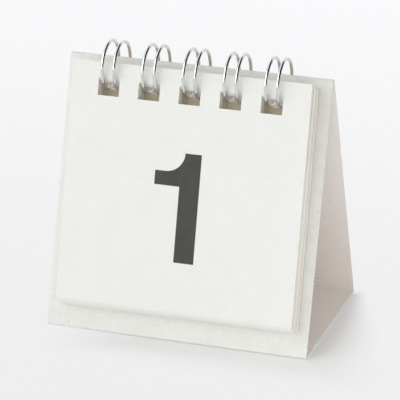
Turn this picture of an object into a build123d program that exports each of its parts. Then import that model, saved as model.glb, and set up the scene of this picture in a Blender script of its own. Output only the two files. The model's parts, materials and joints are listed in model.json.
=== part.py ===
"""Perpetual desk calendar: a folded card tent, a pad of loose day sheets and a twin-loop wire.

Sizes are in millimetres. The origin is the centre of the base's underside. +X runs along the
ridge to the reader's right, +Y to the back and +Z up.
"""

import os
from math import acos, asin, atan2, cos, degrees, hypot, radians, sin, sqrt, tan

from build123d import *

# Card stand: one strip folded into base, front, ridge and back, closed by a glued flap
stand_width = 82.0
stand_depth = 52.5
stand_height = 79.3
card_thickness = 0.5
ridge_fold_radius = 1.0
base_fold_radius = 0.8
glue_flap_height = 3.0

# Day sheets: thickness of the whole pad at its head and at its foot, and of one sheet
sheet_width = 74.2
sheet_height = 72.4
sheet_thickness = 0.2
pad_head_thickness = 8.0
pad_foot_thickness = 5.4
sheet_gap = 0.15
panel_gap = 0.1

# Holes punched along the head of every sheet, below a narrow strip of paper
hole_count = 5
hole_pitch = 12.7
hole_width = 6.67
hole_height = 5.25
head_strip = 4.78

# Twin-loop wire: its loops share one axis, in front of the front panel and below the ridge
wire_diameter = 1.0
wire_flats = 6
wire_spacing = 3.68
loop_standoff = 2.6
loop_drop = 1.45
front_hole_drop = 3.95
front_sheet_play = 0.17
rear_sheet_play = 0.35
root_bend_radius = 1.8
panel_clearance = 0.1
seam_gap = 0.3

# The panels run tangent to the round ridge fold, so depth, height and fold give their lean
half_depth = stand_depth / 2
fold_centre_height = stand_height - ridge_fold_radius
fold_distance = hypot(half_depth, fold_centre_height)
lean = acos(ridge_fold_radius / fold_distance) - atan2(fold_centre_height, half_depth)
panel_length = sqrt(fold_distance**2 - ridge_fold_radius**2)
apex_height = half_depth / tan(lean)

# Panel planes: local X along the ridge, local Y up the panel, local Z out of the stand
front_panel = Plane((0, -half_depth, 0), x_dir=(1, 0, 0), z_dir=(0, -cos(lean), sin(lean)))
back_panel = Plane((0, half_depth, 0), x_dir=(-1, 0, 0), z_dir=(0, cos(lean), sin(lean)))
# Side view of the pad: local X is the distance out of the front panel, local Y runs up it
pad_side = Plane(front_panel.origin, x_dir=front_panel.z_dir, z_dir=(-1, 0, 0))

hole_places = [hole_pitch * (place - (hole_count - 1) / 2) for place in range(hole_count)]
wire_radius = wire_diameter / 2

# Front sheet in the side view: it leans on a pad that is thinner at the foot
sheet_tilt = asin((pad_head_thickness - pad_foot_thickness) / sheet_height)
up_sheet = Vector(sin(sheet_tilt), cos(sheet_tilt))
into_pad = Vector(-cos(sheet_tilt), sin(sheet_tilt))
loop_axis = Vector(loop_standoff, panel_length - loop_drop)
front_hole_top = Vector(
    pad_head_thickness - head_strip * sin(sheet_tilt),
    loop_axis.Y - front_hole_drop,
)
front_head = front_hole_top + up_sheet * head_strip
front_foot = front_head - up_sheet * sheet_height

# The loops are just large enough to hold the front sheet's strip above its holes
loop_inner_radius = (front_hole_top - loop_axis).length + front_sheet_play
loop_radius = loop_inner_radius + wire_radius

# The rearmost sheet hangs lower, where the loops turn in towards the panel
rear_reach = loop_standoff - panel_gap
rear_hole_drop = sqrt((loop_inner_radius - rear_sheet_play) ** 2 - rear_reach**2)
rear_hole_top = Vector(panel_gap, loop_axis.Y - rear_hole_drop)
rear_head = rear_hole_top + Vector(0, head_strip)
rear_foot = rear_head - Vector(0, sheet_height)


def wire_crossing(panel, depth):
    """Height up a panel at which the loops pass a depth below its outer face."""
    axis = panel.to_local_coords(pad_side.from_local_coords(loop_axis))
    return axis.Y - sqrt(loop_radius**2 - (axis.Z + depth) ** 2)


def crossing_angle(panel):
    """Angle about the loop axis, from +Y towards +Z, at which the loops reach a panel's inner face."""
    inner = panel.from_local_coords((0, wire_crossing(panel, card_thickness), -card_thickness))
    spoke = inner - pad_side.from_local_coords(loop_axis)
    return degrees(atan2(spoke.Z, spoke.Y))


# Both panels are punched together, so one hole height has to take the wire front and back
stand_hole_low = wire_crossing(front_panel, 0) - wire_diameter
stand_hole_high = wire_crossing(back_panel, 0) + wire_diameter

# Folded card stand
with BuildPart() as stand:
    with BuildSketch(Plane.YZ) as section:
        with BuildLine():
            Polyline((-half_depth, 0), (0, apex_height), (half_depth, 0), close=True)
        make_face()
        fillet(section.vertices().sort_by(Axis.Y)[-1], ridge_fold_radius)
        fillet(section.vertices().sort_by(Axis.X)[0], base_fold_radius)
        offset(amount=-card_thickness, mode=Mode.SUBTRACT)
        # The flap turns up from the base and doubles the back panel's foot on the inside
        inner_corner = half_depth - card_thickness * (1 / cos(lean) + tan(lean))
        with Locations(Location((inner_corner, card_thickness), degrees(lean))):
            Rectangle(2 * card_thickness, glue_flap_height, align=(Align.CENTER, Align.MIN))
    extrude(amount=stand_width / 2, both=True)
    for panel in (front_panel, back_panel):
        with BuildSketch(panel):
            with Locations((0, (stand_hole_low + stand_hole_high) / 2)):
                with GridLocations(hole_pitch, 0, hole_count, 1):
                    Rectangle(hole_width, stand_hole_high - stand_hole_low)
        extrude(amount=-2 * card_thickness, mode=Mode.SUBTRACT)
stand.part.label = "stand"

# Front day sheet, drawn on its printed face
sheet_face = Plane(
    pad_side.from_local_coords(front_foot),
    x_dir=(1, 0, 0),
    z_dir=(0, -cos(lean - sheet_tilt), sin(lean - sheet_tilt)),
)
with BuildPart() as front_sheet:
    with BuildSketch(sheet_face):
        Rectangle(sheet_width, sheet_height, align=(Align.CENTER, Align.MIN))
        with Locations((0, sheet_height - head_strip - hole_height / 2)):
            with GridLocations(hole_pitch, 0, hole_count, 1):
                Rectangle(hole_width, hole_height, mode=Mode.SUBTRACT)
    extrude(amount=-sheet_thickness)
front_sheet.part.label = "front_sheet"

# Block of the other day sheets: it hangs lower towards the panel, and its holes slope with it
block_set_back = into_pad * (sheet_thickness + sheet_gap) - up_sheet * sheet_gap
block_hole_top = front_hole_top + block_set_back
punch_line = (block_hole_top - rear_hole_top).normalized() * card_thickness
punch_drop = Vector(0, hole_height)
with BuildPart() as sheet_block:
    with BuildSketch(pad_side):
        with BuildLine():
            Polyline(
                front_foot + block_set_back,
                front_head + block_set_back,
                rear_head,
                rear_foot,
                close=True,
            )
        make_face()
    extrude(amount=sheet_width / 2, both=True)
    for place in hole_places:
        with BuildSketch(pad_side.offset(place)):
            with BuildLine():
                Polyline(
                    block_hole_top + punch_line,
                    rear_hole_top - punch_line,
                    rear_hole_top - punch_line - punch_drop,
                    block_hole_top + punch_line - punch_drop,
                    close=True,
                )
            make_face()
        extrude(amount=hole_width / 2, both=True, mode=Mode.SUBTRACT)
sheet_block.part.label = "sheet_block"

# Twin-loop wire. Seen from the right, each loop starts at its root inside the tent, leaves
# through the front panel, comes over the ridge and ends in a closed tip beside the root.
axis_point = pad_side.from_local_coords(loop_axis)
root_angle = crossing_angle(front_panel) + degrees((wire_radius + panel_clearance) / loop_radius)
tip_reach = root_bend_radius + wire_diameter + seam_gap + wire_spacing / 2
tip_angle = root_angle + degrees(tip_reach / loop_radius)
far_angle = (root_angle + tip_angle - 360) / 2


def loop_point(x, angle):
    """Point of the loops' circle at a place along the ridge and an angle about the loop axis."""
    turn = radians(angle)
    return axis_point + Vector(x, loop_radius * cos(turn), loop_radius * sin(turn))


def loop_heading(angle):
    """Direction along the circle from the root towards the front panel."""
    turn = radians(angle)
    return Vector(0, sin(turn), -cos(turn))


root_line = loop_point(0, root_angle) - loop_heading(root_angle) * root_bend_radius
with BuildPart() as binding_wire:
    with BuildLine() as wire_path:
        for place in hole_places:
            left = place - wire_spacing / 2
            right = place + wire_spacing / 2
            tip = loop_point(place, tip_angle) + loop_heading(tip_angle) * (wire_spacing / 2)
            ThreePointArc(*[loop_point(left, angle) for angle in (root_angle, far_angle, tip_angle)])
            ThreePointArc(loop_point(left, tip_angle), tip, loop_point(right, tip_angle))
            ThreePointArc(*[loop_point(right, angle) for angle in (tip_angle, far_angle, root_angle)])
        # Straight roots with rounded ends link each loop to the next
        for place in hole_places[:-1]:
            right = place + wire_spacing / 2
            next_left = place + hole_pitch - wire_spacing / 2
            root_start = root_line + Vector(right + root_bend_radius)
            root_end = root_line + Vector(next_left - root_bend_radius)
            TangentArc(loop_point(right, root_angle), root_start, tangent=-loop_heading(root_angle))
            Line(root_start, root_end)
            TangentArc(root_end, loop_point(next_left, root_angle), tangent=(1, 0, 0))
    path = wire_path.wire()
    # The wire's round is drawn with six flats, two of them square to the loops' radius
    with BuildSketch(Plane(path @ 0, x_dir=(1, 0, 0), z_dir=path % 0)):
        RegularPolygon(wire_radius, wire_flats, major_radius=False, rotation=90 - 180 / wire_flats)
    sweep(path=path, clean=False)
binding_wire.part.label = "binding_wire"

os.makedirs("parts", exist_ok=True)
for piece in (stand, front_sheet, sheet_block, binding_wire):
    export_step(piece.part, f"parts/{piece.part.label}.step")

print(f"lean {degrees(lean):.2f} deg, loop radius {loop_radius:.2f} mm, wire {path.length:.1f} mm long")
print(f"loop axis at y {axis_point.Y:.3f}, z {axis_point.Z:.3f}; sheet tilt {degrees(sheet_tilt):.2f} deg")
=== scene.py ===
# %% [markdown]
# # A perpetual desk calendar
#
# A small tent of folded card carries a pad of loose day sheets. Five double loops of bright wire
# bind the sheets over the ridge. The frame already holds the solids at their real size, with their
# bodies and joints. They could be modelled again here, but then two models would have to agree. So
# this script gives the solids their finish, and models only what one solid can't show: thirty single
# sheets with their cut edges, the printed numbers, and the smooth round wire.

# %% Load the frame
import json
from math import cos, pi, radians, sin
from random import Random

import bmesh
import bpy
from mathutils import Matrix, Quaternion, Vector


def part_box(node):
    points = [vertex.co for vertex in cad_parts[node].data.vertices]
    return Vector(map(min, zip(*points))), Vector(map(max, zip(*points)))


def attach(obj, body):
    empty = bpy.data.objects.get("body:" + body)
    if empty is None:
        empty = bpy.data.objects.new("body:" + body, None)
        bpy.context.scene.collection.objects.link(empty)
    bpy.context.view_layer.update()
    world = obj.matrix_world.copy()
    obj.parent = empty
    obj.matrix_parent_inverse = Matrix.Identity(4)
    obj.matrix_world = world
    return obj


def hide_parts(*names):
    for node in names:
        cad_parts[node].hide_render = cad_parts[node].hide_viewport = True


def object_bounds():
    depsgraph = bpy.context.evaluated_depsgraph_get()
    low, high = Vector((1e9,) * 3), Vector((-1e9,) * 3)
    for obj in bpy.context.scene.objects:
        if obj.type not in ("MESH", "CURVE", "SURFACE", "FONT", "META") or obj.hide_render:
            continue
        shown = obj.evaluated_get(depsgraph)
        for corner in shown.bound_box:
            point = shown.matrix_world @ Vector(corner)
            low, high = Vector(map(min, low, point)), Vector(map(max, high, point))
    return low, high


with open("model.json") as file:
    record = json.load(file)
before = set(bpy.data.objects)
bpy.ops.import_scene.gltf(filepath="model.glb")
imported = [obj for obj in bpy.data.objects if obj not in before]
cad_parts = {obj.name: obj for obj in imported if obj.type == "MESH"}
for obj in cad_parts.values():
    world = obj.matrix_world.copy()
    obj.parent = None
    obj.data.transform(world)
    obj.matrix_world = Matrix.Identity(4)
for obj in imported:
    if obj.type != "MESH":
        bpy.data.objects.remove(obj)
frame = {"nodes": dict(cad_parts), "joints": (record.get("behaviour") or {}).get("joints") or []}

MM = 0.001
cad_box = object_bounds()
nodes = frame["nodes"]

# %% [markdown]
# ## The camera
#
# The picture was taken with a long lens, a little from the right and from above. A camera could be
# moved in the viewport until the view looks right. This one is set by the angle it looks from and
# the point it looks at, because such numbers can be fitted to the corners in a picture. A long lens
# far away keeps the edges of the card nearly parallel, so distance and lens matter as much as the
# angle does.

# %% Camera
camera_azimuth = radians(18.564)
camera_elevation = radians(22.46)
camera_roll = radians(-0.333)
camera_distance = 898.6 * MM
camera_lens = 266.86
aim_point = Vector((-0.573, 0.0, 35.88)) * MM

camera_back = Vector((
    sin(camera_azimuth) * cos(camera_elevation),
    -cos(camera_azimuth) * cos(camera_elevation),
    sin(camera_elevation),
))
bpy.ops.object.camera_add(location=aim_point + camera_back * camera_distance)
camera = bpy.context.object
camera_turn = camera_back.to_track_quat("Z", "Y") @ Quaternion((0, 0, 1), camera_roll)
camera.rotation_euler = camera_turn.to_euler()
camera.data.lens = camera_lens
bpy.context.scene.camera = camera
bpy.context.scene.view_settings.view_transform = "Standard"
print("camera at", [round(c / MM) for c in camera.location], "mm")

# %% [markdown]
# ## Shader sums as Python
#
# A finish is a small sum: a little cloud here, a fleck there, darker on the cut edge. It could be
# wired up by hand in the shader editor, but a long sum is hard to read there. This class wraps one
# output of a node, so that plain arithmetic on it adds the Math nodes. Every other node comes from
# its one method, `node`.

# %% Signals
class Signal:
    """One output of a shader node. Arithmetic with it adds Math nodes to the same tree."""

    def __init__(self, tree, socket=None):
        self.tree = tree
        self.socket = socket

    def node(self, kind, settings=None, inputs=None, output=0):
        """Adds a node, makes its settings, fills or links its inputs and returns one output."""
        made = self.tree.nodes.new(kind)
        for name, value in (settings or {}).items():
            setattr(made, name, value)
        for name, value in (inputs or {}).items():
            if isinstance(value, Signal):
                self.tree.links.new(value.socket, made.inputs[name])
            else:
                made.inputs[name].default_value = value
        return Signal(self.tree, made.outputs[output])

    def math(self, operation, *values):
        return self.node("ShaderNodeMath", {"operation": operation}, dict(enumerate(values)))

    def __add__(self, other):
        return self.math("ADD", self, other)

    def __sub__(self, other):
        return self.math("SUBTRACT", self, other)

    def __rsub__(self, other):
        return self.math("SUBTRACT", other, self)

    def __mul__(self, other):
        return self.math("MULTIPLY", self, other)

    def __lt__(self, other):
        return self.math("LESS_THAN", self, other)

    def __abs__(self):
        return self.math("ABSOLUTE", self)

    __radd__ = __add__
    __rmul__ = __mul__

    def or_else(self, other):
        """The larger of two masks: 1 where either of them is."""
        return self.math("MAXIMUM", self, other)

    def rise(self, low, high):
        """0 where this is under low, 1 where it is over high, and smooth between."""
        limits = {"Value": self, "From Min": low, "From Max": high}
        return self.node("ShaderNodeMapRange", {"interpolation_type": "SMOOTHSTEP"}, limits)

    def band(self, low, high):
        """1 between low and high, with soft ends one millimetre long."""
        return self.rise(low, low + MM) * (1 - self.rise(high, high + MM))

    def mix(self, first, second):
        """The colour that lies this far, from 0 to 1, between two colours."""
        return self.node("ShaderNodeMix", {"data_type": "RGBA"}, {0: self, 6: first, 7: second}, 2)

    def axis(self, name):
        """One of the three numbers, X, Y or Z, of a place or a direction."""
        return self.node("ShaderNodeSeparateXYZ", {}, {"Vector": self}, name)

    def noise(self, scale, detail=2.0):
        """Cloudy noise at this place, about 0.5 on average, with features 1/scale metres wide."""
        return self.node("ShaderNodeTexNoise", {}, {"Vector": self, "Scale": scale, "Detail": detail})

    def stretched(self, x, y, z):
        """This place with its three directions scaled, which draws a pattern out into streaks."""
        return self.node("ShaderNodeMapping", {}, {"Vector": self, "Scale": (x, y, z)})

    def coordinate(self, name):
        """The place, or the normal, of the point that is shaded."""
        return self.node("ShaderNodeTexCoord", output=name)

    def ray_is(self, kind):
        """1 for rays of one kind, such as Camera, and 0 for all others."""
        return self.node("ShaderNodeLightPath", output=f"Is {kind} Ray")

    def link_to(self, shader, name):
        self.tree.links.new(self.socket, shader.inputs[name])


def new_finish(name, **constants):
    """A material, the start of its signals and its Principled shader with constants set."""
    material = bpy.data.materials.new(name)
    material.use_nodes = True
    shader = material.node_tree.nodes["Principled BSDF"]
    for socket, value in constants.items():
        shader.inputs[socket.replace("_", " ")].default_value = value
    return material, Signal(material.node_tree), shader


def give(piece, material):
    """Makes a material the only one of a piece."""
    piece.data.materials.clear()
    piece.data.materials.append(material)


print("signals ready")

# %% [markdown]
# ## The floor
#
# The calendar stands on a pale seamless floor that fades to near white. A studio would hang up
# a curved sweep of paper. One flat plane is enough here, because the camera looks down and never
# sees its end. Under soft lamps white paper comes out grey, and more light would burn out the card.
# So camera rays see mostly a glow of the right tone, apart from a patch round the base, where they
# see the real floor with its shadow. Mirror rays see one even tone.

# %% Floor
floor_size = 12.0
near_tone = (0.865, 0.865, 0.870, 1)
far_tone = (0.965, 0.965, 0.98, 1)
mirrored_tone = (0.78, 0.80, 0.84, 1)
floor_colour = (0.92, 0.92, 0.92, 1)
glow_share = 0.94
base_right = cad_box[1][0]
shadow_reach = 16 * MM
shadow_slant = 0.45
patch_left = (5 * MM, 40 * MM)
patch_front = (26 * MM, 44 * MM)
patch_back = (22 * MM, 28 * MM)
fade_start, fade_end = -0.08, 0.32

bpy.ops.object.select_all(action="DESELECT")
bpy.ops.mesh.primitive_plane_add(size=floor_size)
floor = bpy.context.object
floor.name = "floor"
floor_finish, start, shader = new_finish("pale_floor", Roughness=0.7, Specular_IOR_Level=0.1)
shader.inputs["Base Color"].default_value = floor_colour
place = start.coordinate("Object")
across, depth = place.axis("X"), place.axis("Y")
right_of_base = across.rise(base_right, base_right + shadow_reach - depth * shadow_slant)
left_of_base = (0 - across).rise(*patch_left)
before_base = (0 - depth).rise(*patch_front)
behind_base = depth.rise(*patch_back)
clear = right_of_base.or_else(left_of_base).or_else(before_base).or_else(behind_base)
tone = depth.rise(fade_start, fade_end).mix(near_tone, far_tone)
glow = start.node("ShaderNodeEmission", {}, {"Color": tone})
dim = start.node("ShaderNodeEmission", {}, {"Color": mirrored_tone})
solid = Signal(start.tree, shader.outputs["BSDF"])
seen = start.ray_is("Camera") * clear * glow_share
lifted = start.node("ShaderNodeMixShader", {}, {0: seen, 1: solid, 2: glow})
lifted = start.node("ShaderNodeMixShader", {}, {0: start.ray_is("Glossy"), 1: lifted, 2: dim})
lifted.link_to(start.tree.nodes["Material Output"], "Surface")
give(floor, floor_finish)
print("floor", floor_size, "m")

# %% [markdown]
# ## The lamps
#
# Four soft lamps stand in for the softboxes of a studio. The broad key comes from the upper left
# and throws the shadow to the right. A small one stands close by on the right, like a white card that
# throws light back on the sides of the sheets and into the tent. A weak one by the camera looks into
# the punched holes, and one behind lights the ridge and the back panel. A picture of a room could
# light the scene too, but lamps can be balanced one by one. Mirror rays find only the key, so the
# wire shows that lamp and the surround.

# %% Lamps
def soft_lamp(name, direction, distance, size, power, colour):
    """A square soft lamp at a distance in one direction from the object, facing it."""
    direction = Vector(direction).normalized()
    bpy.ops.object.light_add(type="AREA", location=direction * distance)
    lamp = bpy.context.object
    lamp.name = name
    lamp.rotation_euler = direction.to_track_quat("Z", "Y").to_euler()
    lamp.data.size = size
    lamp.data.energy = power
    lamp.data.color = colour
    return lamp


upper_left = (-0.58, -0.70, 0.42)
low_right = (0.15, -0.034, 0.026)
high_behind = (-0.20, 0.78, 0.60)
far_off = 1.2
close_by = 0.155
cool_white = (0.97, 1.0, 1.01)
warm_white = (1.0, 0.98, 0.96)
cream_white = (1.0, 1.0, 0.98)
plain_white = (1.0, 1.0, 1.0)

key_lamp = soft_lamp("key_lamp", upper_left, far_off, size=1.4, power=9.5, colour=cool_white)
side_lamp = soft_lamp("side_lamp", low_right, close_by, size=0.08, power=0.052, colour=warm_white)
front_lamp = soft_lamp("front_lamp", camera_back, far_off, size=0.5, power=1.8, colour=cream_white)
back_lamp = soft_lamp("back_lamp", high_behind, far_off, size=0.8, power=3.5, colour=plain_white)
for lamp in (side_lamp, front_lamp, back_lamp):
    lamp.visible_glossy = False
print("lamps", [lamp.name for lamp in (key_lamp, side_lamp, front_lamp, back_lamp)])

# %% [markdown]
# ## The surround
#
# A pale surround fills the shadows, as white walls and a brighter ceiling do. Camera and mirror rays
# see it as near white, while the light that it sends to the card stays at a plain level. A closed
# room of planes could do the same, but a world shader can tell the kinds of ray apart. Mirror rays
# also find a dark part on the right, because bright wire with nothing dark to mirror looks like
# white plastic.

# %% Surround
wall_fill = (1.0, 0.985, 0.965, 1)
ceiling_fill = (2.4, 2.4, 2.4, 1)
fill_strength = 0.24
pale_wall = (0.94, 0.94, 0.955, 1)
dark_wall = (0.01, 0.01, 0.01, 1)
dark_left = (-0.15, 0.03)
dark_rear = (0.6, 0.8)
ceiling_edge = (0.4, 0.9)

world = bpy.data.worlds.new("surround")
bpy.context.scene.world = world
world.use_nodes = True
world.node_tree.nodes.clear()
start = Signal(world.node_tree)
mirrored = start.ray_is("Glossy")
seen = start.ray_is("Camera").or_else(mirrored).or_else(start.ray_is("Transmission"))
toward = start.coordinate("Generated")
dark_side = toward.axis("X").rise(*dark_left) * (1 - toward.axis("Y").rise(*dark_rear))
wall = (mirrored * dark_side).mix(pale_wall, dark_wall)
fill_colour = toward.axis("Z").rise(*ceiling_edge).mix(wall_fill, ceiling_fill)
fill = start.node("ShaderNodeBackground", {}, {"Color": fill_colour, "Strength": fill_strength})
shown = start.node("ShaderNodeBackground", {}, {"Color": wall, "Strength": 1.0})
both = start.node("ShaderNodeMixShader", {}, {0: seen, 1: fill, 2: shown})
both.link_to(world.node_tree.nodes.new("ShaderNodeOutputWorld"), "Surface")
print("surround with fill", fill_strength)

# %% [markdown]
# ## Pulp
#
# Card and paper are both pressed from pulp, with a faint cloudy tone, short fibres and a few flecks.
# A scanned picture could be wrapped round them, but it would need a map of every fold. Noise that is
# worked out from the place needs none, and runs over the folds as pulp does. Fibres are noise drawn
# out in two directions. Flecks are a few chosen cells of a Voronoi pattern.

# %% Pulp and flecks
fleck_colour = (0.48, 0.44, 0.38, 1)


def pulp(start, cloud_scale, fibre_scale):
    """Cloud and fibre tones of pulp, both about 0.5, and the place that they are read at."""
    place = start.coordinate("Object")
    cloud = place.noise(cloud_scale, 2.0)
    along = place.stretched(1.0, 0.25, 0.25).noise(fibre_scale, 3.0)
    across = place.stretched(0.25, 1.0, 1.0).noise(fibre_scale, 3.0)
    return place, cloud, (along + across) * 0.5


def flecks(place, scale, share, size):
    """1 on small flecks: this share of the cells has one, of up to this size in cells."""
    cell = {"Vector": place, "Scale": scale, "Randomness": 1.0}
    distance = place.node("ShaderNodeTexVoronoi", {}, cell, "Distance")
    chance = place.node("ShaderNodeTexVoronoi", {}, cell, "Color")
    chosen = place.node("ShaderNodeSeparateColor", {}, {"Color": chance}, "Red") < share
    wobble = place.noise(scale * 9.0, 2.0) * size
    return (1 - distance.rise(size * 0.4, size)) * chosen * wobble.rise(0.0, size * 0.6)


def roughen(shader, grain, strength, distance):
    """Gives a shader fine relief from a grain signal."""
    relief = {"Height": grain, "Strength": strength, "Distance": distance}
    grain.node("ShaderNodeBump", {}, relief).link_to(shader, "Normal")


print("pulp ready")

# %% [markdown]
# ## The card of the stand
#
# The stand is folded from uncoated, recycled card, and its finish isn't one colour all over. Its cut
# edges show a greyer core, made darker still as painted shade. Its inside is painted pinker and
# lighter towards the top, for the warm light that bounces round inside the tent, and darker towards
# the foot as painted shade. The strip behind the punched holes is painted warm and light, for light
# that creeps in between the sheets. Each could be a material of its own on chosen faces. Here the way
# a face looks and its height tell them apart, because the solid's mesh stays as it is. The tints were
# tuned against the picture.

# %% Card finish
card_light = (0.86, 0.855, 0.825, 1)
card_dark = (0.81, 0.805, 0.772, 1)
# Grey core of the cut edges, made darker still as painted shade.
core_and_edge_shade = (0.70, 0.685, 0.65, 1)
# Painted light and shade inside the tent: pinker and lighter towards the top, darker at the foot.
painted_inside_shade = (0.91, 0.845, 0.805, 1)
painted_inside_light = (1.0, 0.965, 0.935, 1)
inside_light_top = 60 * MM
inside_foot = 1.0 * MM
base_limit = 5 * MM
hole_row_foot = 60 * MM
card_row_top = 74 * MM
hole_row_reach = 35 * MM
# Painted warm light in the punched holes, on the card behind them and on the sheets' hole edges.
painted_hole_light = (1.0, 0.92, 0.75, 1)
card_fleck = 0.55
inside_fleck = 0.45
inside_cloud = 0.05
inside_paint_share = 0.9
core_share = 0.6


def hole_row(place, top):
    """1 on the strip with the punched holes, up to this height."""
    return place.axis("Z").band(hole_row_foot, top) * (abs(place.axis("X")) < hole_row_reach)


card, start, shader = new_finish("recycled_card", Roughness=0.82, Specular_IOR_Level=0.25)
place, cloud, fibre = pulp(start, cloud_scale=140.0, fibre_scale=1300.0)
tone = (cloud * 0.3 + fibre * 0.7).rise(0.36, 0.64)
fleck = flecks(place, scale=230.0, share=0.30, size=0.09)
normal = start.coordinate("Normal")
height = place.axis("Z")
cut = abs(normal.axis("X")).rise(0.7, 0.9)
overhead = abs(normal.axis("Y")).rise(0.3, 0.6) * (0 - normal.axis("Z")).rise(0.1, 0.2)
base_inside = normal.axis("Z").rise(0.8, 0.9) * (height < base_limit)
inside = overhead * height.rise(inside_foot, inside_foot * 1.5) + base_inside
behind_holes = hole_row(place, card_row_top) * (normal.axis("Y") < -0.5) * (1 - inside)
surface = (fleck * card_fleck).mix(tone.mix(card_dark, card_light), fleck_colour)
# The inside gets painted warm light, with painted shade towards the foot.
painted_inside = height.rise(0.0, inside_light_top).mix(painted_inside_shade, painted_inside_light)
painted_inside = (fleck * inside_fleck + (1 - tone) * inside_cloud).mix(painted_inside, fleck_colour)
surface = (inside * inside_paint_share).mix(surface, painted_inside)
# The strip behind the holes gets painted warm light.
surface = behind_holes.mix(surface, painted_hole_light)
# Cut edges get the grey core and the painted shade.
(cut * core_share).mix(surface, core_and_edge_shade).link_to(shader, "Base Color")
grain = fibre * 0.7 + place.noise(900.0, 3.0) * 0.3 - fleck * 0.2
roughen(shader, grain, strength=0.35, distance=0.06 * MM)
give(nodes["stand"], card)
print("card on", nodes["stand"].name)

# %% [markdown]
# ## The paper of the day sheets
#
# The sheets are a smoother, slightly whiter paper. Fibre and cloud are fainter than on the card, and
# flecks are rare. The cut edges are painted warmer, and warmer and lighter still in the punched
# holes, as painted light that creeps in between the sheets. Subsurface light could show that, but a
# painted tint is simpler and goes along into an exported model. An edge is where a face doesn't look
# the same way as the printed side.

# %% Paper finish
paper_light = (0.89, 0.885, 0.855, 1)
paper_dark = (0.86, 0.855, 0.82, 1)
# Painted warm light on the cut edges of the sheets.
painted_edge_light = (0.87, 0.83, 0.76, 1)
sheet_row_top = 75 * MM
paper_fleck = 0.25
edge_share = 0.8
sheet_faces = nodes["front_sheet"].data.polygons
printed = max((face for face in sheet_faces if face.normal.y < 0), key=lambda face: face.area)
sheet_outward = printed.normal.copy()

paper, start, shader = new_finish("day_sheet_paper", Roughness=0.75, Specular_IOR_Level=0.3)
place, cloud, fibre = pulp(start, cloud_scale=160.0, fibre_scale=3200.0)
tone = (cloud * 0.4 + fibre * 0.6).rise(0.3, 0.7)
fleck = flecks(place, scale=150.0, share=0.10, size=0.05)
directions = {0: start.coordinate("Normal"), 1: sheet_outward}
facing = start.node("ShaderNodeVectorMath", {"operation": "DOT_PRODUCT"}, directions, "Value")
cut = 1 - abs(facing).rise(0.3, 0.7)
# Cut edges get painted warm light, with more of it in the punched holes.
painted_edge = hole_row(place, sheet_row_top).mix(painted_edge_light, painted_hole_light)
surface = (fleck * paper_fleck).mix(tone.mix(paper_dark, paper_light), fleck_colour)
(cut * edge_share).mix(surface, painted_edge).link_to(shader, "Base Color")
roughen(shader, fibre, strength=0.25, distance=0.03 * MM)
give(nodes["front_sheet"], paper)
print("paper on", nodes["front_sheet"].name)

# %% [markdown]
# ## Working by hand in edit mode
#
# Each new piece starts from a primitive and is shaped by the operators that a modeller uses with the
# mouse. Corners could be written straight into a mesh, but a list of them doesn't show how a piece
# is made. These helpers stand in for the mouse: they make a piece the only selected one, open it in
# edit mode, select what passes a test of place, cut it along planes, and apply a modifier.

# %% Helpers for modelling
def only(piece):
    """Makes a piece the only selected object, and the active one."""
    bpy.ops.object.select_all(action="DESELECT")
    piece.select_set(True)
    bpy.context.view_layer.objects.active = piece


def edit(piece):
    """Opens a piece in edit mode with everything selected."""
    only(piece)
    bpy.ops.object.mode_set(mode="EDIT")
    bpy.ops.mesh.select_all(action="SELECT")


def new_plane(width, height, middle):
    """A plane of this size, with its middle here, opened in edit mode."""
    bpy.ops.object.select_all(action="DESELECT")
    bpy.ops.mesh.primitive_plane_add(size=1)
    plane = bpy.context.object
    edit(plane)
    bpy.ops.transform.resize(value=(width, height, 1))
    bpy.ops.transform.translate(value=(*middle, 0))
    return plane


def cut_across(x_places, y_places):
    """In edit mode, cuts a flat piece along lines at these places."""
    lines = [((0, y, 0), (0, 1, 0)) for y in y_places] + [((x, 0, 0), (1, 0, 0)) for x in x_places]
    for point, direction in lines:
        bpy.ops.mesh.select_all(action="SELECT")
        bpy.ops.mesh.bisect(plane_co=point, plane_no=direction)


def pick(piece, kind, test):
    """In edit mode, selects just the verts, edges or faces whose middle passes a test."""
    bpy.ops.mesh.select_mode(type={"verts": "VERT", "edges": "EDGE", "faces": "FACE"}[kind])
    bpy.ops.mesh.select_all(action="DESELECT")
    mesh = bmesh.from_edit_mesh(piece.data)
    for element in getattr(mesh, kind):
        corners = [element] if kind == "verts" else element.verts
        middle = sum((corner.co for corner in corners), Vector()) / len(corners)
        element.select_set(test(middle))
    mesh.select_flush_mode()
    bmesh.update_edit_mesh(piece.data)


def extrude(x, y):
    """In edit mode, extrudes what is selected by this much."""
    bpy.ops.mesh.extrude_region_move(TRANSFORM_OT_translate={"value": (x, y, 0)})


def apply_modifier(piece, kind, **settings):
    """Adds a modifier to a piece and applies it."""
    only(piece)
    modifier = piece.modifiers.new(kind.lower(), kind)
    for name, value in settings.items():
        setattr(modifier, name, value)
    bpy.ops.object.modifier_apply(modifier=modifier.name)


def lay(piece, across, up, out, origin):
    """Turns and moves a flat piece to its place, and applies that to its mesh."""
    piece.matrix_world = Matrix.Translation(origin) @ Matrix((across, up, out)).transposed().to_4x4()
    only(piece)
    bpy.ops.object.transform_apply()


along_ridge = Vector((1, 0, 0))
same_place = 0.001 * MM
print("helpers ready")

# %% [markdown]
# ## One loose sheet
#
# One solid carries the weight of the sheets behind the front one, but their edges show that they are
# loose. So one sheet is modelled flat, to be copied. Its holes could be cut out with Boolean blocks.
# Cutting a plane along straight lines and deleting the faces of the holes leaves cleaner edges, and
# Solidify then gives it the thickness of paper. The sheets fan out a little towards the wire, so the
# back of the pattern is turned by a fraction of a degree.

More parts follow.
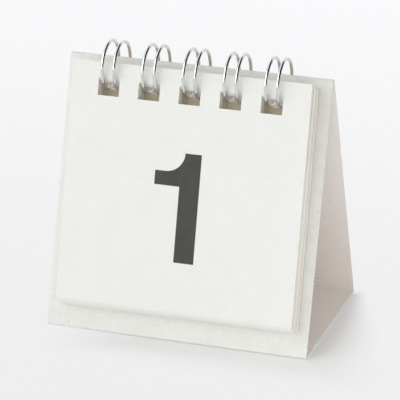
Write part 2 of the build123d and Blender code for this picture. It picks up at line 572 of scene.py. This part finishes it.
# %% One flat sheet with its holes
hole_count = 5
hole_pitch = 12.7 * MM
hole_width = 6.67 * MM
hole_height = 5.25 * MM
head_strip = 4.78 * MM
foot_thickness = 0.145 * MM
head_thickness = 0.225 * MM
hole_places = [hole_pitch * (place - (hole_count - 1) / 2) for place in range(hole_count)]

up_sheet = sheet_outward.cross(along_ridge)
sheet_low, sheet_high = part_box("front_sheet")
sheet_width = sheet_high.x - sheet_low.x
sheet_levels = [v.co.dot(up_sheet) for v in nodes["front_sheet"].data.vertices]
sheet_height = max(sheet_levels) - min(sheet_levels)
hole_top = sheet_height - head_strip
hole_foot = hole_top - hole_height


def in_a_hole(point):
    level = hole_foot < point.y < hole_top
    return level and any(abs(point.x - middle) < hole_width / 2 for middle in hole_places)


pattern_sheet = new_plane(sheet_width, sheet_height, (0, sheet_height / 2))
hole_sides = [middle + side * hole_width / 2 for middle in hole_places for side in (-1, 1)]
cut_across(hole_sides, (hole_top, hole_foot))
pick(pattern_sheet, "faces", in_a_hole)
bpy.ops.mesh.delete(type="FACE")
bpy.ops.object.mode_set(mode="OBJECT")
apply_modifier(pattern_sheet, "SOLIDIFY", thickness=foot_thickness, offset=-1)
edit(pattern_sheet)
pick(pattern_sheet, "verts", lambda place: place.z < -foot_thickness / 2)
fan_angle = (head_thickness - foot_thickness) / sheet_height
bpy.ops.transform.rotate(value=fan_angle, orient_axis="X", center_override=(0, 0, -foot_thickness))
bpy.ops.object.mode_set(mode="OBJECT")
print("sheet", [round(side / MM, 1) for side in (sheet_width, sheet_height)], "mm")

# %% [markdown]
# ## Thirty sheets in five groups
#
# Loose sheets slide down the round of the wire, so those further back hang lower. They hang in
# a few groups, which show as fine steps at the foot and as lines along the side. An Array modifier
# could copy the sheet, but then every step would be the same. Each copy is laid by a function, at its
# own depth in the solid, with the hang and the slip of its group and a little slip of its own.

# %% Lay the sheets between the front and the back of the block
group_sizes = (2, 4, 8, 8, 8)
group_slips = [slip * MM for slip in (0.04, -0.14, 0.08, -0.12, 0.06)]
group_hangs = (0.15, 0.31, 0.57, 0.88, 0.90)
tightness = 0.9
foot_slip = 0.6 * MM
loose_slip = 0.04 * MM
slips = Random(31)

sheet_count = sum(group_sizes)
block_low, block_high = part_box("sheet_block")
block_corners = [v.co.copy() for v in nodes["sheet_block"].data.vertices]
block_side = sorted((c for c in block_corners if c.x < block_low.x + same_place), key=lambda c: c.y)
heads = [c for c in block_side if c.z > (block_low.z + block_high.z) / 2]
feet = [c for c in block_side if c.z < (block_low.z + block_high.z) / 2]
front_head, rear_head = heads[0], heads[-1]
front_foot, rear_foot = feet[0], feet[-1]


def lay_sheet(depth, hang, slip):
    """A copy of the pattern sheet, laid at a depth from 0 at the front to 1 at the panel.

    The hang is 0 for sheets level with the front one and 1 for sheets as low as the rear one.
    """
    only(pattern_sheet)
    bpy.ops.object.duplicate()
    sheet = bpy.context.object
    rear_way = sheet_outward * depth
    head = front_head.lerp(rear_head, depth) + rear_way * head_thickness
    foot = front_foot.lerp(rear_foot, depth) + rear_way * foot_thickness
    up = (head - foot).normalized()
    out = along_ridge.cross(up)
    head -= up * (front_head - rear_head).dot(up) * (hang - depth)
    head.x = slip + slips.uniform(-loose_slip, loose_slip)
    slant = (foot_slip * depth + slips.uniform(-loose_slip, loose_slip)) / sheet_height
    across = along_ridge * cos(slant) + up * sin(slant)
    up = out.cross(across)
    lay(sheet, across, up, out, head - up * (sheet_height + slips.uniform(0, loose_slip)))
    return sheet


laid = []
for size, hang, slip in zip(group_sizes, group_hangs, group_slips):
    first = len(laid)
    for number in range(size):
        laid.append(lay_sheet((first + number * tightness) / (sheet_count - 1), hang, slip))
bpy.data.objects.remove(pattern_sheet)
only(laid[0])
for sheet in laid:
    sheet.select_set(True)
bpy.ops.object.join()
loose_sheets = bpy.context.object
loose_sheets.name = "loose_sheets"
give(loose_sheets, paper)
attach(loose_sheets, "stand")
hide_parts("sheet_block")
print(sheet_count, "sheets,", len(loose_sheets.data.polygons), "faces")

# %% [markdown]
# ## The number 1
#
# A day number is ink on paper, so it's modelled as a skin thinner than a hair. It could be a picture
# on the sheet, but a shape stays sharp from near by. The front sheet shows a plain 1: a stem, a short
# flag, and a hollow curve between them. All of it is extruded from one plane, the stem, and the curve
# is one bevelled corner. Heights are measured up the sheet from its foot.

# %% The number 1
stem_left, stem_right = -0.95 * MM, 5.3 * MM
stem_foot = 15.1 * MM
flag_left, flag_foot, flag_top = -8.82 * MM, 37.85 * MM, 42.1 * MM
head_left, head_top = 0.2 * MM, 47.95 * MM
curve_radius = 0.99 * (head_top - flag_top)
curve_steps = 12
near = 0.01 * MM

stem_middle = ((stem_left + stem_right) / 2, (stem_foot + flag_top) / 2)
one = new_plane(stem_right - stem_left, flag_top - stem_foot, stem_middle)
one.name = "number_one"
cut_across((head_left,), (flag_foot,))
pick(one, "edges", lambda middle: abs(middle.x - stem_left) < near and middle.y > flag_foot)
extrude(flag_left - stem_left, 0)
pick(one, "edges", lambda middle: abs(middle.y - flag_top) < near and middle.x > head_left)
extrude(0, head_top - flag_top)
bpy.ops.mesh.select_all(action="SELECT")
bpy.ops.mesh.remove_doubles(threshold=near)
bpy.ops.mesh.dissolve_limited(angle_limit=radians(1))
corner = Vector((head_left, flag_top, 0))
pick(one, "verts", lambda place: (place - corner).length < near)
bpy.ops.mesh.bevel(offset=curve_radius, segments=curve_steps, profile=0.5, affect="VERTICES")
bpy.ops.object.mode_set(mode="OBJECT")
print("number 1 has", len(one.data.polygons), "face with", len(one.data.vertices), "corners")

# %% [markdown]
# ## The number 2
#
# When the front sheet is turned over, the next sheet shows a plain 2. Its curves could be drawn by
# hand too, but Blender's own typeface has a plain 2, which only needs to be bolder. The text is made
# a mesh first, and is then brought to the height of the 1.

# %% The number 2
bold_offset = 0.035
bpy.ops.object.select_all(action="DESELECT")
bpy.ops.object.text_add()
two = bpy.context.object
two.name = "number_two"
two.data.body = "2"
two.data.align_x = "CENTER"
two.data.offset = bold_offset
bpy.ops.object.convert(target="MESH")
two = bpy.context.object
edit(two)
text_levels = [v.co.y for v in two.data.vertices]
scale = (head_top - stem_foot) / (max(text_levels) - min(text_levels))
bpy.ops.transform.resize(value=(scale, scale, scale), center_override=(0, 0, 0))
bpy.ops.transform.translate(value=(0, stem_foot - min(text_levels) * scale, 0))
bpy.ops.mesh.dissolve_limited(angle_limit=radians(0.5))
bpy.ops.object.mode_set(mode="OBJECT")
print("number 2 has", len(two.data.vertices), "corners")

# %% [markdown]
# ## Ink on the sheets
#
# Solidify gives both numbers their thickness, and each is laid on the face of its sheet. Uncoated
# paper drinks ink unevenly, so the ink is a soft, slightly patchy black. One flat colour would do
# from afar, but it looks like a hole in the paper from near by.

# %% Print the numbers
ink_thickness = 0.02 * MM
ink_dark = (0.055, 0.055, 0.046, 1)
ink_light = (0.074, 0.074, 0.062, 1)

ink, start, shader = new_finish("printing_ink", Roughness=0.6, Specular_IOR_Level=0.3)
place = start.coordinate("Object")
patchy = (place.noise(1500.0, 4.0) * 0.6 + place.noise(260.0, 2.0) * 0.4).rise(0.3, 0.7)
patchy.mix(ink_dark, ink_light).link_to(shader, "Base Color")

sheet_foot = printed.center + up_sheet * (min(sheet_levels) - printed.center.dot(up_sheet))
up_block = (front_head - front_foot).normalized()
for number, body, foot, up in (
    (one, "front_sheet", sheet_foot, up_sheet),
    (two, "stand", front_foot, up_block),
):
    apply_modifier(number, "SOLIDIFY", thickness=ink_thickness, offset=1)
    lay(number, along_ridge, up, along_ridge.cross(up), (0, foot.y, foot.z))
    give(number, ink)
    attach(number, body)
    print(number.name, [round(side / MM, 2) for side in number.dimensions], "mm")

# %% [markdown]
# ## The wire
#
# The binding is one wire from end to end. Each loop goes once round in a left and a right strand,
# which meet in a closed tip, and straight roots inside the tent link one loop to the next. A curve
# with a round bevel could follow that path. Spinning a ring of points was chosen, because its steps
# are the bends of the wire: round the loop's axis, round the tip, back again and round the corners
# of the root.

# %% Bend the wire
wire_radius = 0.5 * MM
wire_spacing = 3.68 * MM
root_bend = 1.8 * MM
seam_gap = 0.3 * MM
ring_points = 20
root_angle = radians(-77.66)
loop_steps, tip_steps, root_steps = 72, 14, 8

wire_low, wire_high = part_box("binding_wire")
loop_axis = Vector(frame["joints"][0]["pos_m"])
loop_radius = (wire_high.z - wire_low.z) / 2 - wire_radius
tip_angle = root_angle + (root_bend + 2 * wire_radius + seam_gap + wire_spacing / 2) / loop_radius
loop_turn = 2 * pi - (tip_angle - root_angle)
root_reach = wire_spacing / 2 + root_bend


def spoke(angle):
    """Unit vector out of the loop axis at an angle from +Y towards +Z."""
    return Vector((0, cos(angle), sin(angle)))


def spin(centre, axis, angle, steps):
    """Spins the selected ring of the wire on, round a centre. The operator turns the other way."""
    bpy.ops.mesh.spin(steps=steps, angle=-angle, center=centre, axis=axis)


first_root = loop_axis + along_ridge * hole_places[0] + spoke(root_angle) * loop_radius
bpy.ops.object.select_all(action="DESELECT")
bpy.ops.mesh.primitive_circle_add(
    vertices=ring_points,
    radius=wire_radius,
    location=first_root - along_ridge * wire_spacing / 2,
    rotation=(root_angle + pi, 0, 0),
)
wire = bpy.context.object
wire.name = "twin_loop_wire"
only(wire)
bpy.ops.object.transform_apply()
edit(wire)
for middle in hole_places:
    centre = loop_axis + along_ridge * middle
    spin(centre, -along_ridge, loop_turn, loop_steps)
    spin(centre + spoke(tip_angle) * loop_radius, -spoke(tip_angle), pi, tip_steps)
    spin(centre, along_ridge, loop_turn, loop_steps)
    if middle != hole_places[-1]:
        root = centre + spoke(root_angle) * loop_radius
        spin(root + along_ridge * root_reach, spoke(root_angle), pi / 2, root_steps)
        extrude(hole_pitch - 2 * root_reach, 0)
        spin(root + along_ridge * (hole_pitch - root_reach), spoke(root_angle), pi / 2, root_steps)
print("wire bent,", len(hole_places), "loops of radius", round(loop_radius / MM, 2), "mm")

# %% [markdown]
# A spin starts each time with a copy of the last ring, so the doubles are merged. The two open ends
# are then closed with a face each. The rings could stay flat-sided, but smooth shading makes twenty
# sides look round at far less cost than more points.

# %% Close and smooth the wire
smooth_angle = radians(50)
bpy.ops.mesh.select_all(action="SELECT")
bpy.ops.mesh.remove_doubles(threshold=same_place)
bpy.ops.mesh.select_all(action="DESELECT")
bpy.ops.mesh.select_mode(type="EDGE")
bpy.ops.mesh.select_non_manifold()
bpy.ops.mesh.edge_face_add()
bpy.ops.mesh.select_all(action="SELECT")
bpy.ops.mesh.normals_make_consistent(inside=False)
bpy.ops.object.mode_set(mode="OBJECT")
bpy.ops.object.shade_smooth_by_angle(angle=smooth_angle)
print("wire", [round(side / MM, 2) for side in wire.dimensions], "mm")

# %% [markdown]
# ## The wire's finish
#
# The wire is steel with a bright nickel coat. It mirrors the paper and the light, and is a little
# duller in patches. A plain mirror could do, but every loop would then look the same. The rear of the
# loops looks browner in the picture, so their depth tints them brown, a painted reflection of the
# shaded card behind them.

# %% Wire finish
nickel_dull = (0.72, 0.72, 0.71, 1)
nickel_bright = (0.82, 0.82, 0.82, 1)
# Painted reflection of the shaded card, on the rear of the loops.
painted_rear_reflection = (0.66, 0.54, 0.39, 1)
mirror_roughness = 0.02
patch_roughness = 0.05
rear_start, rear_end = -1 * MM, 2.5 * MM
reflection_share = 0.75

nickel, start, shader = new_finish("bright_nickel", Metallic=1.0)
place = start.coordinate("Object")
patches = place.noise(700.0, 3.0)
(mirror_roughness + patches * patch_roughness).link_to(shader, "Roughness")
bright = patches.rise(0.35, 0.65).mix(nickel_dull, nickel_bright)
rear = place.axis("Y").rise(rear_start, rear_end)
# The rear of the loops gets the painted reflection.
(rear * reflection_share).mix(bright, painted_rear_reflection).link_to(shader, "Base Color")
give(wire, nickel)
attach(wire, "stand")
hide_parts("binding_wire")
print("wire finish on", wire.name)
